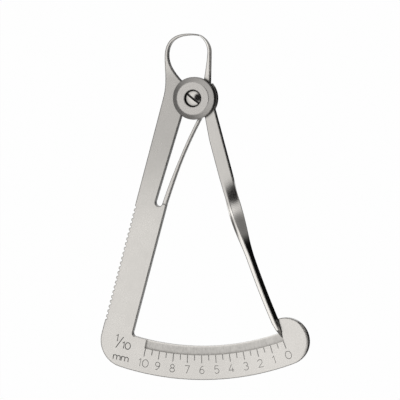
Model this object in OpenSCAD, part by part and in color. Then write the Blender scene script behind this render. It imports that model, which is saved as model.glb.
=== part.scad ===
// Spring caliper: a frame with a notched left arm and a curved scale, and a sprung pointer arm.
// It lies on its back: +Z faces the reader, +Y points to the jaws, and the pivot axis is Z.
// The origin is on the pivot axis, on the back plane. All sizes are in millimetres.

/* [Plate] */
// Thickness of the frame and of the pointer arm
plate_t = 2.0; // [1.6:0.1:2.6]
// Radius of the half-lapped discs at the pivot
lap_r = 3.9; // [3.7:0.05:4.0]

/* [Scale] */
// Width of the scale bar
scale_w = 9.7; // [9:0.1:12]
// Reach of the needle's point over the scale bar
needle_over = 1.55; // [1.2:0.05:1.8]
// Gap from the needle's point to the marks, where the sunk reading band ends
point_gap = 1.05; // [0.8:0.05:1.5]
// Depth of the sunk reading band
band_depth = 0.8; // [0.6:0.05:1.0]
// Room for the needle in the reading band, past the last mark
band_lead = 0.25; // [0.2:0.05:0.5]
// Angle of the zero mark from straight down, towards +X
zero_angle = 20.65; // [20:0.05:21.5]
// Largest jaw opening on the scale
measure_max = 10; // [8:0.5:10]
// Jaw opening between two marks
mark_step = 0.5; // [0.5:0.5:1]
// Width of a scale mark
mark_w = 0.25; // [0.15:0.05:0.4]
// Depth of a scale mark
mark_depth = 0.12; // [0.05:0.01:0.3]
// Length of a whole-millimetre mark
mark_long = 2.3; // [1.6:0.1:3]
// Length of a half-millimetre mark
mark_short = 1.5; // [0.8:0.1:2]
// Radius of the round lobe past the zero mark
lobe_r = 6.8; // [6:0.1:7.5]
// Angle from the zero mark to the lobe's centre
lobe_turn = 0.35; // [0:0.05:1]
// Angle from the zero mark to the foot of the lobe's straight edge
lobe_edge_turn = 0.12; // [0.1:0.02:0.5]
// Lean of the lobe's straight edge from the radius, towards straight down
lobe_edge_lean = 6; // [5:1:12]

/* [Left arm] */
// Lean of the arm from straight down, away from the pointer
arm_angle = 15.2; // [14.8:0.1:16]
// Distance of the arm's outer edge from the pivot axis
arm_out_off = 9.19; // [8.8:0.01:10]
// Distance of the arm's inner edge from the pivot axis
arm_in_off = 0.35; // [0.3:0.01:0.7]
// Radius of the corner between the arm and the scale bar
corner_r = 7.8; // [7:0.1:9]
// Radius of the corner inside, between the arm and the scale bar
inner_r = 1.0; // [0.5:0.1:2]
// Number of grip notches
grip_count = 24; // [16:1:25]
// Distance between grip notches
grip_pitch = 1.45; // [1.2:0.05:1.5]
// Radius of a grip notch
grip_r = 0.42; // [0.3:0.01:0.5]
// Distance of the first notch from the pivot, along the edge
grip_start = 35.2; // [34:0.1:37]

/* [Leaf spring] */
// Distance of the spring's root from the pivot, along the arm
root_s = 31.9; // [30:0.1:34]
// Width of the spring at its root
root_w = 1.15; // [1:0.05:1.3]
// Width of the spring at its thinnest
leaf_w = 0.74; // [0.6:0.01:0.85]
// Width of the spring at its tip
leaf_tip_w = 0.8; // [0.6:0.01:0.9]
// Bow of the spring towards the arm
leaf_bow = 1.37; // [1:0.01:1.6]
// Place of the bow along the spring, from its root
leaf_bow_at = 0.57; // [0.5:0.01:0.65]
// Radius of the slit's round bottom
slit_r = 1.1; // [0.9:0.05:1.2]
// Distance of the slit's outer side from the pivot axis, at the hub
slit_off = 2.7; // [2.5:0.05:2.9]
// Gap between the spring's tip and the pointer arm
leaf_gap = 0.05; // [0.02:0.01:0.1]

/* [Jaws] */
// Distance of the measuring points from the pivot axis
tip_r = 18.0; // [17:0.1:20]
// Angle of the measuring points from straight up, towards +X
tip_angle = 2.9; // [2:0.1:4]
// Width of a jaw at its point
tip_w = 0.34; // [0.25:0.01:0.5]
// Depth of a jaw at its point, across the plate
tip_depth = 1.2; // [0.8:0.05:1.5]
// Gap between the closed points
tip_gap = 0.06; // [0.04:0.01:0.1]
// Reach of the left jaw to the left of the pivot
left_reach = 9.06; // [8.8:0.01:9.6]
// Reach of the right jaw to the right of the pivot
right_reach = 4.35; // [4.2:0.01:4.8]
// Width of the left jaw at its side
left_web = 0.87; // [0.7:0.01:1.1]
// Width of the right jaw at its side
right_web = 0.72; // [0.55:0.01:0.9]
// Height of the left jaw's side above the pivot
side_y = 11.5; // [11:0.1:12.5]
// Rise of the left jaw's crown above the points
crown_rise = 0.46; // [0.3:0.01:0.6]
// Distance of the left jaw's crown from the pivot, to the left
crown_reach = 2.1; // [1.8:0.05:2.4]
// Distance of the highest place inside the left jaw from the pivot, to the left
in_crown_reach = 0.9; // [0.7:0.05:1.2]
// Drop of that place below the points
in_crown_drop = 0.05; // [0:0.01:0.1]
// Rise of the left jaw's inner side above its outer side
in_side_rise = 0.7; // [0.4:0.05:1]
// Distance of the left jaw's inner root from the pivot, to the left
left_root_x = 3.6; // [3.4:0.05:3.9]
// Height of the left jaw's inner root above the pivot
left_root_y = 4.2; // [4.1:0.05:4.4]
// Distance of the right jaw's inner root from the pivot, to the right
right_root_x = 2.38; // [2.3:0.01:2.7]
// Height of the right jaw's root above the pivot
right_root_y = 4.0; // [3.9:0.05:4.2]
// Outward lean of the right jaw, from its root to its side
right_flare = 0.13; // [0.05:0.01:0.3]
// Rise of the right jaw's outer side above the left one's
right_rise = 1.7; // [1.4:0.05:2]
// Rise of the right jaw's inner side above the left one's outer side
right_in_rise = 1.9; // [1.6:0.05:2.2]
// Height above the pivot where the jaws start to thin towards their points
relief_y = 14.5; // [13.5:0.1:15.5]

/* [Pointer arm] */
// Radius of the pointer arm's round hub
hub_r = 6.35; // [6.1:0.05:6.6]
// Lean of the flat strip from straight down, towards +X
strip_angle = 15.4; // [14.8:0.1:15.8]
// Distance of the strip's inner edge from the pivot axis
strip_in_off = 0.82; // [0.7:0.01:0.95]
// Distance of the strip's inner edge from the pivot axis, at the hub
neck_off = 1.45; // [1.3:0.01:1.6]
// Distance from the half lap to the start of the neck
neck_lead = 0.7; // [0.5:0.05:1]
// Length of the neck between the hub and the strip's full width
neck_len = 8.15; // [6:0.05:10]
// Width of the strip, which is the depth of the twisted blade
strip_w = 3.72; // [3.5:0.01:4]
// Distance from the pivot where the twist starts
twist_s = 22.2; // [20:0.1:24]
// Length of the twist
twist_len = 26.4; // [24:0.1:30]
// Distance from the start of the twist to the middle of the blade's long bend
bend_len = 24.0; // [20:0.1:28]
// Turn of the strip into the blade
twist_angle = 86; // [82:1:90]
// Thickness of the blade after the twist
blade_t = 1.2; // [1.15:0.05:1.5]
// Width of the flat that is ground on the blade's front edge
ground_w = 0.75; // [0.4:0.05:0.8]
// Largest share of the thickness that this flat takes
ground_most = 0.7; // [0.5:0.05:0.8]
// Height of the blade's back edge above the back plane
blade_lift = 0.15; // [0.05:0.05:0.3]
// Radius of the needle's point
needle_r = 72.85; // [70:0.05:80]
// Thickness of the blade where its point starts
needle_t = 1.1; // [0.8:0.05:1.15]
// Length of the ground point
point_len = 4.7; // [4:0.1:6]
// Length of the point's nose, over the reading band
nose_len = 2.4; // [2.3:0.1:2.8]
// Thickness at the nose
nose_t = 0.8; // [0.6:0.05:0.85]
// Offset of the nose from the blade's middle, towards the lobe
nose_side = 0.15; // [0:0.05:0.2]
// Height lost at the front of the blade where the nose starts
nose_drop = 0.25; // [0.1:0.05:0.5]
// Thickness of the very tip
point_t = 0.2; // [0.15:0.01:0.3]
// Height of the very tip
point_h = 0.45; // [0.3:0.05:0.6]
// Clearance between the needle and the reading band
needle_gap = 0.25; // [0.15:0.05:0.35]

/* [Pivot] */
// Outer radius of the pivot barrel
barrel_r = 2.2; // [2:0.05:2.4]
// Radius of the barrel's flange, sunk in the back of the frame
flange_r = 3.4; // [3:0.1:3.5]
// Thickness of the barrel's flange
flange_t = 0.5; // [0.4:0.05:0.6]
// Floor left under the barrel's threaded hole
barrel_floor = 0.6; // [0.5:0.05:0.8]
// Running clearance of the pointer arm on the barrel, on the radius
run_gap = 0.04; // [0.02:0.01:0.08]
// Gap between parts that slide face to face
slide_gap = 0.04; // [0.02:0.01:0.08]
// Clearance round a part that is seated and does not move
seat_gap = 0.02; // [0.01:0.01:0.04]
// Clearance round the half-lapped discs
lap_gap = 0.15; // [0.1:0.01:0.2]
// Radius of the front disc
disc_r = 6.1; // [5.8:0.05:6.2]
// Height of the front disc
disc_h = 2.8; // [2.4:0.1:3.2]
// Width of the disc's bevel, on the radius
bevel_w = 1.4; // [1:0.05:1.6]
// Height of the disc's bevel
bevel_h = 0.9; // [0.7:0.05:1.4]
// Radius of the screw head
head_r = 2.3; // [2.1:0.05:2.5]
// Gap round the screw head
head_gap = 0.18; // [0.1:0.01:0.25]
// Height of the screw head's rim
head_h = 1.1; // [0.9:0.05:1.3]
// Height of the dome on the screw head
dome_h = 0.5; // [0.2:0.05:0.55]
// Radius of the screw's shank
shank_r = 1.2; // [1:0.05:1.4]
// Clearance under the end of the screw
shank_end_gap = 0.2; // [0.1:0.05:0.3]
// Width of the screwdriver slot
slot_w = 0.6; // [0.5:0.05:0.8]
// Depth of the screwdriver slot
slot_depth = 0.9; // [0.5:0.05:1]
// Direction of the screwdriver slot from +X
slot_angle = -38; // [-90:1:90]

/* [Hidden] */
$fn = 96;
curve_steps = 14;
leaf_steps = 24;
leaf_round = 15;
blade_steps = 100;
blade_root = 0.6;
blade_root_in = 0.05;
cut = 1;
over_turn = 3;

// Plane points by polar place, and small vector helpers
function down(r, a) = [r * sin(a), -r * cos(a)];
function up(r, a) = [r * sin(a), r * cos(a)];
function unit(v) = v / norm(v);
function left_turn(v) = [-v[1], v[0]];
function mix(a, b, t) = a + (b - a) * t;
function ease(t) = t * t * (3 - 2 * t);

// Curves through control points
function cubic(p, t) =
  pow(1 - t, 3) * p[0] + 3 * pow(1 - t, 2) * t * p[1] + 3 * (1 - t) * t * t * p[2] + pow(t, 3) * p[3];
function curve(p) = [for (i = [1:curve_steps]) cubic(p, i / curve_steps)];
function quad(p, t) = pow(1 - t, 2) * p[0] + 2 * (1 - t) * t * p[1] + t * t * p[2];
function quad_dir(p, t) = unit((1 - t) * (p[1] - p[0]) + t * (p[2] - p[1]));

// Places on the left arm and on the pointer's strip: distance from the pivot axis, then along
arm_u = [-sin(arm_angle), -cos(arm_angle)];
arm_n = [-cos(arm_angle), sin(arm_angle)];
strip_u = [sin(strip_angle), -cos(strip_angle)];
strip_n = left_turn(strip_u);
function on_arm(off, s) = off * arm_n + s * arm_u;
function on_strip(off, s) = off * strip_n + s * strip_u;

// The scale bar and its reading band lie round the needle's point
scale_in_r = needle_r - needle_over;
scale_out_r = scale_in_r + scale_w;
band_out_r = needle_r + point_gap;

// Pointer travel for a jaw opening, which is the chord between the points
function travel(opening) = 2 * asin(opening / (2 * tip_r));
ten_angle = zero_angle - travel(measure_max);
stop_angle = zero_angle + lobe_edge_turn;
lobe_angle = zero_angle + lobe_turn;
lobe_c = down(scale_out_r - lobe_r, lobe_angle);
scale_mid_r = (scale_in_r + scale_out_r) / 2;
band_z = plate_t - band_depth;
band_start = ten_angle - asin((mark_w / 2 + band_lead) / band_out_r);
stop_foot = down(band_out_r, stop_angle);

// Half lap: the frame keeps the back half, the pointer arm the front half
lap_back_z = (plate_t - slide_gap) / 2;
lap_front_z = (plate_t + slide_gap) / 2;

// The corner circle touches the arm's outer edge and the scale's outer arc
corner_off = arm_out_off - corner_r;
corner_s = sqrt(pow(scale_out_r - corner_r, 2) - pow(corner_off, 2));
corner_c = on_arm(corner_off, corner_s);
corner_angle = atan2(corner_c[0], -corner_c[1]);

// The corner inside touches the arm's inner edge and the scale's inner arc
inner_off = arm_in_off - inner_r;
inner_s = sqrt(pow(scale_in_r - inner_r, 2) - pow(inner_off, 2));
inner_c = on_arm(inner_off, inner_s);
inner_angle = atan2(inner_c[0], -inner_c[1]);

// Leaf spring: its root is square to the arm, and its tip bears on the pointer's neck
slit_c = on_arm(arm_in_off + root_w + slit_r, root_s);
slit_low = on_arm(arm_in_off + root_w + 2 * slit_r, root_s);
slit_top = on_arm(slit_off, lap_r);
neck_s = lap_r + neck_lead;
neck = on_strip(neck_off, neck_s);
knee = on_strip(strip_in_off, neck_s + neck_len);
leaf_root = on_arm(arm_in_off + root_w / 2, root_s);
leaf_end = neck - (leaf_gap + leaf_tip_w / 2) * left_turn(unit(knee - neck));
leaf_bend = mix(leaf_root, leaf_end, leaf_bow_at) + leaf_bow * left_turn(unit(leaf_end - leaf_root));
leaf_path = [leaf_root, leaf_bend, leaf_end];
function leaf_width(t) = t < 0.5 ? mix(root_w, leaf_w, ease(2 * t)) : mix(leaf_w, leaf_tip_w, ease(2 * t - 1));
function leaf_side(t, side) =
  t == 0 ? leaf_root - side * root_w / 2 * arm_n
         : quad(leaf_path, t) - side * leaf_width(t) / 2 * left_turn(quad_dir(leaf_path, t));

// How far the jaw curves pull straight out of their ends before they bend
foot_pull = 4.6;
low_pull = 3.9;
high_pull = 4.7;
crown_pull = 1.2;
in_tip_pull = 0.6;
in_crown_pull = 5.1;
in_high_pull = 3.6;
in_low_pull = 2.9;
right_pull = 3;
right_high_pull = 2.4;
right_bend_pull = 1.95;
left_out_pull = [-0.8, 0.2];
left_in_pull = [-0.6, 0.1];
left_root_pull = [-2.6, 2.5];
right_out_pull = [1.7, -0.6];
right_in_pull = [1.3, -0.55];
right_root_pull = [0.6, 3.5];

// Jaw outlines: the points meet on one radius, each half the gap away from it
tip_across = [cos(tip_angle), -sin(tip_angle)];
function tip(r, side) = up(r, tip_angle) + side * tip_gap / 2 * tip_across;
left_foot = on_arm(arm_out_off, arm_out_off * tan(arm_angle));
left_side = [-left_reach, side_y];
left_crown = [-crown_reach, tip_r + crown_rise];
left_in_crown = [-in_crown_reach, tip_r - in_crown_drop];
left_in_side = [left_web - left_reach, side_y + in_side_rise];
left_in_foot = [-left_root_x, left_root_y];
left_out_tip = tip(tip_r + tip_w / 2, -1);
left_in_tip = tip(tip_r - tip_w / 2, -1);
left_jaw_edge = concat(
  curve([left_foot, left_foot - foot_pull * arm_u, left_side - [0, low_pull], left_side]),
  curve([left_side, left_side + [0, high_pull], left_crown - [high_pull, 0], left_crown]),
  curve([left_crown, left_crown + [crown_pull, 0], left_out_tip + left_out_pull, left_out_tip]),
  [left_in_tip],
  curve([left_in_tip, left_in_tip + left_in_pull, left_in_crown + [in_tip_pull, 0], left_in_crown]),
  curve([left_in_crown, left_in_crown - [in_crown_pull, 0], left_in_side + [0, in_high_pull], left_in_side]),
  curve([left_in_side, left_in_side - [0, in_low_pull], left_in_foot + left_root_pull, left_in_foot])
);
right_foot = [right_reach - right_flare, right_root_y];
right_side = [right_reach, side_y + right_rise];
right_in_side = [right_reach - right_web, side_y + right_in_rise];
right_in_foot = [right_root_x, right_root_y];
right_out_tip = tip(tip_r + tip_w / 2, 1);
right_in_tip = tip(tip_r - tip_w / 2, 1);
right_jaw_edge = concat(
  [right_foot],
  curve([right_foot, right_foot + [0, right_pull], right_side - [0, right_pull], right_side]),
  curve([right_side, right_side + [0, right_high_pull], right_out_tip + right_out_pull, right_out_tip]),
  [right_in_tip],
  curve([right_in_tip, right_in_tip + right_in_pull, right_in_side + [0, right_bend_pull], right_in_side]),
  curve([right_in_side, right_in_side - [0, right_bend_pull], right_in_foot + right_root_pull, right_in_foot])
);

// Twisted blade: the strip turns over and bends slowly towards the needle's point
needle = down(needle_r, zero_angle);
twist_start = on_strip(strip_in_off + strip_w / 2, twist_s);
blade_bend = twist_start + bend_len * strip_u;
blade_u = unit(needle - blade_bend);
blade_end = needle - point_len * blade_u;
blade_path = [twist_start, blade_bend, blade_end];
blade_len = bend_len + norm(blade_end - blade_bend);
tip_low_z = band_z + needle_gap;
blade_high_z = blade_lift + strip_w * sin(twist_angle) + needle_t * cos(twist_angle);

// Pivot stack, from the back plane up
barrel_top = plate_t + slide_gap;
disc_top = barrel_top + disc_h;
head_seat_z = disc_top - head_h - dome_h;
dome_r = (head_r * head_r + dome_h * dome_h) / (2 * dome_h);

// A flat ring cut to a range of angles
module ring_sector(r0, r1, a0, a1) {
  far = 2 * r1;
  middle = (a0 + a1) / 2;
  intersection() {
    difference() {
      circle(r1, $fn = 240);
      circle(r0, $fn = 240);
    }
    polygon([[0, 0], down(far, a0), down(far, middle), down(far, a1)]);
  }
}

// A flat ring that ends at the lobe's straight edge
module ring_to_lobe(r0, r1, a0) {
  far = 2 * scale_out_r;
  intersection() {
    ring_sector(r0, r1, a0, stop_angle + over_turn);
    translate(stop_foot)
      rotate(stop_angle - lobe_edge_lean)
        translate([-far, -far])
          square([far, 2 * far]);
  }
}

// Cuts that thin both jaws from relief_y to their points
module jaw_relief() {
  run = tip_r + cut - relief_y;
  drop = (plate_t - tip_depth) / 2 * run / (tip_r - relief_y);
  reach = 2 * left_reach;
  for (side = [0, 1])
    translate([-reach, 0, side * plate_t])
      mirror([0, 0, 1 - side])
        rotate([90, 0, 90])
          linear_extrude(2 * reach)
            polygon([[relief_y, 0], [relief_y + run, -drop], [relief_y + run, cut], [relief_y, cut]]);
}

module frame_outline() {
  difference() {
    union() {
      polygon(concat(
        [left_foot],
        left_jaw_edge,
        [
          [0, 0],
          slit_top,
          slit_low,
          on_arm(arm_in_off, root_s),
          on_arm(arm_in_off, scale_mid_r),
          on_arm(arm_out_off, corner_s)
        ]
      ));
      intersection() {
        translate(corner_c)
          circle(corner_r);
        polygon([
          on_arm(corner_off + cut, corner_s - cut),
          on_arm(arm_out_off + cut, corner_s - cut),
          on_arm(arm_out_off + cut, scale_out_r + cut),
          down(scale_out_r + 2 * cut, corner_angle + 1),
          down(scale_in_r + 2 * cut, corner_angle + 1)
        ]);
      }
      ring_sector(scale_in_r, scale_out_r, corner_angle, lobe_angle);
      ring_sector(scale_in_r, scale_mid_r, corner_angle - over_turn, stop_angle + over_turn / 2);
      difference() {
        polygon([
          inner_c,
          on_arm(arm_in_off + cut, inner_s),
          on_arm(arm_in_off + cut, scale_in_r + cut),
          down(scale_in_r + cut, inner_angle)
        ]);
        translate(inner_c)
          circle(inner_r);
      }
      difference() {
        translate(lobe_c)
          circle(lobe_r);
        ring_to_lobe(scale_in_r - 2 * lobe_r, scale_in_r + cut / 2, ten_angle);
      }
    }
    translate(slit_c)
      circle(slit_r);
  }
}

// Scale marks, whose places follow the chord between the points
module marks() {
  for (i = [0:measure_max / mark_step]) {
    opening = i * mark_step;
    long = opening == floor(opening) ? mark_long : mark_short;
    angle = zero_angle - travel(opening);
    rotate(angle)
      translate([-mark_w / 2, -band_out_r - long, plate_t - mark_depth])
        cube([mark_w, long + mark_w, cut]);
  }
}

module grip_notches() {
  for (i = [0:grip_count - 1])
    translate(on_arm(arm_out_off, grip_start + i * grip_pitch))
      translate([0, 0, -cut])
        cylinder(r = grip_r, h = plate_t + 2 * cut, $fn = 32);
}

module scale_frame() {
  color("gainsboro")
    difference() {
      union() {
        linear_extrude(plate_t)
          frame_outline();
        cylinder(r = lap_r, h = lap_back_z);
      }
      translate([0, 0, lap_back_z])
        cylinder(r = lap_r + lap_gap, h = plate_t);
      translate([0, 0, -cut])
        cylinder(r = barrel_r + seat_gap, h = plate_t + 2 * cut);
      translate([0, 0, -cut])
        cylinder(r = flange_r + seat_gap, h = flange_t + cut);
      translate([0, 0, band_z])
        linear_extrude(plate_t)
          ring_to_lobe(scale_in_r - cut, band_out_r, band_start);
      marks();
      grip_notches();
      jaw_relief();
    }
}

module leaf_spring() {
  ahead = quad_dir(leaf_path, 1);
  aside = left_turn(ahead);
  color("silver")
    linear_extrude(plate_t)
      polygon(concat(
        [for (i = [0:leaf_steps]) leaf_side(i / leaf_steps, 1)],
        [for (a = [leaf_round:leaf_round:180 - leaf_round])
          leaf_end + leaf_tip_w / 2 * (ahead * sin(a) - aside * cos(a))],
        [for (i = [leaf_steps:-1:0]) leaf_side(i / leaf_steps, -1)]
      ));
}

// One section of the blade: its corners round a centre, the front one ground off to a level flat
function section(centre, dir, turn, thick, low, high) =
  let (
    across = left_turn(dir),
    half = thick / 2,
    ground = min(ground_w, ground_most * thick),
    corners = [
      [low, -half],
      [high, -half],
      [high, half],
      [low + ground * cos(turn), half],
      [low, half - ground * sin(turn)]
    ]
  )
  [for (c = corners)
    [each centre + across * (c[0] * cos(turn) + c[1] * sin(turn)), c[1] * cos(turn) - c[0] * sin(turn)]];
function raise(points, z) = [for (p = points) p + [0, 0, z]];
function lowest(points) = min([for (p = points) p[2]]);
function blade_section(t) =
  let (
    twisted = ease(min(1, t * blade_len / twist_len)),
    slimmed = max(0, (t * blade_len - twist_len) / (blade_len - twist_len)),
    thick = mix(plate_t, blade_t, twisted) - (blade_t - needle_t) * slimmed,
    flat = section(quad(blade_path, t), quad_dir(blade_path, t), twist_angle * twisted, thick,
      -strip_w / 2, strip_w / 2)
  )
  raise(flat, blade_lift * twisted - lowest(flat));
function root_section() =
  let (half_w = strip_w / 2 - blade_root_in)
  raise(
    section(twist_start - blade_root * strip_u, strip_u, 0, plate_t - 2 * blade_root_in, -half_w, half_w),
    plate_t / 2);
function point_section(back, side, thick, low_z, high_z) =
  let (mid_z = blade_lift + strip_w / 2 * sin(twist_angle))
  raise(
    section(needle - back * blade_u + side * left_turn(blade_u), blade_u, twist_angle, thick,
      (mid_z - high_z) / sin(twist_angle), (mid_z - low_z) / sin(twist_angle)),
    mid_z);

// The blade as a skin over its sections, each side of a step cut into two triangles.
// Its root lies inside the strip, so that the two fuse.
module blade() {
  sections = concat(
    [root_section()],
    [for (i = [0:blade_steps]) blade_section(i / blade_steps)],
    [
      point_section(nose_len, nose_side, nose_t, tip_low_z, blade_high_z - nose_drop),
      point_section(0, 0, point_t, tip_low_z, tip_low_z + point_h)
    ]
  );
  count = len(sections[0]);
  last = count * (len(sections) - 1);
  polyhedron(
    points = [for (s = sections) each s],
    faces = concat(
      [for (j = [1:count - 2]) [0, j, j + 1]],
      [for (k = [0:count:last - count], j = [0:count - 1])
        let (n = (j + 1) % count)
        each [[k + j, k + count + j, k + count + n], [k + j, k + count + n, k + n]]],
      [for (j = [1:count - 2]) [last + j + 1, last + j, last]]
    )
  );
}

module pointer_outline() {
  far = 2 * hub_r;
  polygon(right_jaw_edge);
  intersection() {
    circle(hub_r);
    polygon([right_in_foot, [far, right_in_foot[1] + cut], [far, neck[1]], neck]);
  }
  polygon([
    on_strip(neck_off + cut, 0),
    neck,
    knee,
    on_strip(strip_in_off, twist_s),
    on_strip(strip_in_off + strip_w, twist_s),
    on_strip(strip_in_off + strip_w, cut)
  ]);
}

module pointer_arm() {
  color("lightgray")
    difference() {
      union() {
        linear_extrude(plate_t)
          pointer_outline();
        translate([0, 0, lap_front_z])
          cylinder(r = lap_r, h = plate_t - lap_front_z);
        blade();
      }
      translate([0, 0, -cut])
        cylinder(r = lap_r + lap_gap, h = lap_front_z + cut);
      translate([0, 0, -cut])
        cylinder(r = barrel_r + run_gap, h = plate_t + 2 * cut);
      jaw_relief();
    }
}

module pivot_barrel() {
  color("darkgray")
    difference() {
      union() {
        cylinder(r = flange_r, h = flange_t);
        cylinder(r = barrel_r, h = barrel_top);
      }
      translate([0, 0, barrel_floor])
        cylinder(r = shank_r + seat_gap, h = barrel_top);
    }
}

module front_disc() {
  hole_r = shank_r + seat_gap;
  seat_r = head_r + head_gap;
  color("silver")
    rotate_extrude()
      polygon([
        [hole_r, barrel_top],
        [disc_r, barrel_top],
        [disc_r, disc_top - bevel_h],
        [disc_r - bevel_w, disc_top],
        [seat_r, disc_top],
        [seat_r, head_seat_z],
        [hole_r, head_seat_z]
      ]);
}

module pivot_screw() {
  shank_z = barrel_floor + shank_end_gap;
  color("gray")
    difference() {
      union() {
        translate([0, 0, shank_z])
          cylinder(r = shank_r, h = head_seat_z + head_h - shank_z);
        intersection() {
          translate([0, 0, head_seat_z])
            cylinder(r = head_r, h = head_h + dome_h + cut);
          translate([0, 0, disc_top - dome_r])
            sphere(dome_r);
        }
      }
      rotate(slot_angle)
        translate([-head_r - cut, -slot_w / 2, disc_top - slot_depth])
          cube([2 * head_r + 2 * cut, slot_w, slot_depth + cut]);
    }
}

scale_frame();
leaf_spring();
pointer_arm();
pivot_barrel();
front_disc();
pivot_screw();
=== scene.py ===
"""Looks of the spring caliper: steel, engraved figures, leaf spring, stage and camera."""

import logging
import math
from dataclasses import dataclass
from enum import Enum
from functools import cached_property
from typing import Callable, Optional, Sequence, Union

import bmesh
import bpy
import numpy as np
from mathutils import Matrix, Vector


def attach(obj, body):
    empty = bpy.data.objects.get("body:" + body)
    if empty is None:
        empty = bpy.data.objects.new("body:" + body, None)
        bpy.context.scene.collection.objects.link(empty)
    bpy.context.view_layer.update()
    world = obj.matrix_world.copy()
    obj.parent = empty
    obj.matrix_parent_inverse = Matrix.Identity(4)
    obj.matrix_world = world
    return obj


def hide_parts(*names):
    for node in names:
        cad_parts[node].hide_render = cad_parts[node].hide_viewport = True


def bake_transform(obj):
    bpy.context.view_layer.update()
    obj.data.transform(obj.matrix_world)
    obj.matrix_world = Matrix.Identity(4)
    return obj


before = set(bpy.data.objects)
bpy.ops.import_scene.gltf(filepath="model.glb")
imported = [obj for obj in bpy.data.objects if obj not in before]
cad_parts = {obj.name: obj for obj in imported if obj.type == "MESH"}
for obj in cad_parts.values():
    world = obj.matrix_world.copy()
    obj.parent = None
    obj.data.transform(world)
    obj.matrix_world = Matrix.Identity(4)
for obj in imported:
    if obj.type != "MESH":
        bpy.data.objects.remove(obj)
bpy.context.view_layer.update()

LOG = logging.getLogger("caliper")
MM = 0.001
PICTURE_PX = 400

# The plate and the scale's geometry, in millimetres and degrees, as the solids have them.
PLATE_T = 2.0
ARM_ANGLE = 15.2
STRIP_ANGLE = 15.4
ZERO_ANGLE = 20.65
TIP_R = 18.0
SCALE_TO = 10
SCALE_IN_R = 71.3
BAND_OUT_R = 73.9
BAND_Z = 1.2

# How far a surface faces the reader, from a wall to a face and from a slope to the front.
WALL_FACING = (0.12, 0.4)
FRONT_FACING = (0.6, 0.9)

# Noise in the steel: its cells to a millimetre, for ground lines along X, Y and Z, and its detail.
CLOUD_CELLS = 0.22
GRIT_CELLS = 4.0
TURNED_CELLS = 6.0
GROUND_CELLS = (5.0, 0.22, 1.0)
FINE_DETAIL = 4.0
GRIT_DETAIL = 2.0

# Painted shade on edges and in deep corners, bumps and roughness of the steel.
EDGE_TURN = (0.0004, 0.012)
OPEN_SKY = (0.4, 0.95)
SKY_SAMPLES = 8
CORNER_SHADE_MM = 1.0
LINE_HEIGHT = 0.7
GRIT_HEIGHT = 0.3
BUMP_MM = 0.02
ROUGH_CLOUDS = 0.08
ROUGH_LINES = 0.06

# Meshes: the angle of a sharp edge, the steps of an arc, and the least cosine and length of a stroke.
SHARP_ANGLE = 40.0
ARC_STEP = 15.0
ARC_LEAST = 6
CORNER_LEAST = 0.55
TINY = 1e-9

Value = Union["Wire", float, int, Sequence[float]]
Settings = Optional[dict[str, object]]
Sockets = Optional[dict[Union[int, str], Value]]
Colour = tuple[float, float, float]
Span = tuple[float, float]


def down(radius: float, angle: float) -> np.ndarray:
    """Point at a radius from the pivot, turned by an angle from straight down towards the reader's right."""
    turn = math.radians(angle)
    return np.array([radius * math.sin(turn), -radius * math.cos(turn)])


def mark_angle(opening: float) -> float:
    """Angle on the scale of a jaw opening: the jaw points are a chord of that length apart."""
    return ZERO_ANGLE - 2 * math.degrees(math.asin(opening / (2 * TIP_R)))


def eased(part: np.ndarray) -> np.ndarray:
    """Rises smoothly from 0 to 1 as the part does: 3 times its square less twice its cube."""
    part = np.clip(part, 0, 1)
    return part * part * (3 - 2 * part)


def arm_axes() -> tuple[np.ndarray, np.ndarray]:
    """Directions in the plane to the left of the notched arm and down along it."""
    turn = math.radians(ARM_ANGLE)
    return np.array([-math.cos(turn), math.sin(turn)]), np.array([-math.sin(turn), -math.cos(turn)])


def row_axes(tilt: float) -> tuple[np.ndarray, np.ndarray]:
    """Directions along a row of figures that is turned by a tilt in degrees, and up from it."""
    turn = math.radians(tilt)
    return np.array([math.cos(turn), math.sin(turn)]), np.array([-math.sin(turn), math.cos(turn)])


def grey(tone: float) -> Colour:
    """Colour of an even grey."""
    return tone, tone, tone


class Wire:
    """A socket of a shader graph that takes part in Python expressions."""

    def __init__(self, graph: "Graph", socket: bpy.types.NodeSocket) -> None:
        """Keeps the graph and the socket."""
        self.graph = graph
        self.socket = socket

    def math(self, operation: str, *terms: Value) -> "Wire":
        """Adds a Math node that takes the given terms."""
        return self.graph.wire("ShaderNodeMath", {"operation": operation}, dict(enumerate(terms)))

    def __add__(self, other: Value) -> "Wire":
        """Sum of two values."""
        return self.math("ADD", self, other)

    def __sub__(self, other: Value) -> "Wire":
        """This value less another."""
        return self.math("SUBTRACT", self, other)

    def __rsub__(self, other: Value) -> "Wire":
        """Another value less this one."""
        return self.math("SUBTRACT", other, self)

    def __mul__(self, other: Value) -> "Wire":
        """Product of two values."""
        return self.math("MULTIPLY", self, other)

    __radd__ = __add__
    __rmul__ = __mul__

    def size(self) -> "Wire":
        """The value without its sign."""
        return self.math("ABSOLUTE", self)

    def larger(self, other: Value) -> "Wire":
        """The larger of two values."""
        return self.math("MAXIMUM", self, other)

    def ease(self, low: float, high: float) -> "Wire":
        """Rises smoothly from 0 where the value is low to 1 where it is high."""
        sockets = {"Value": self, "From Min": low, "From Max": high}
        return self.graph.wire("ShaderNodeMapRange", {"interpolation_type": "SMOOTHSTEP"}, sockets)

    def within(self, low: float, high: float, rise: float, fall: float) -> "Wire":
        """One from low to high, with a soft border of the given width before it and after it."""
        return self.ease(low - rise, low) * (1 - self.ease(high, high + fall))

    def near(self, middle: float, reach: float) -> "Wire":
        """One at a value, easing to nought at a distance from it."""
        return 1 - (self - middle).size().ease(0.0, reach)

    def swing(self, share: float) -> "Wire":
        """A share of the way that a value from 0 to 1 lies from its middle."""
        return share * (self - 0.5)

    def where(self, mask: "Wire", factor: float) -> "Wire":
        """This value, times a factor where the mask is one."""
        return self * (1 + (factor - 1) * mask)


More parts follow.
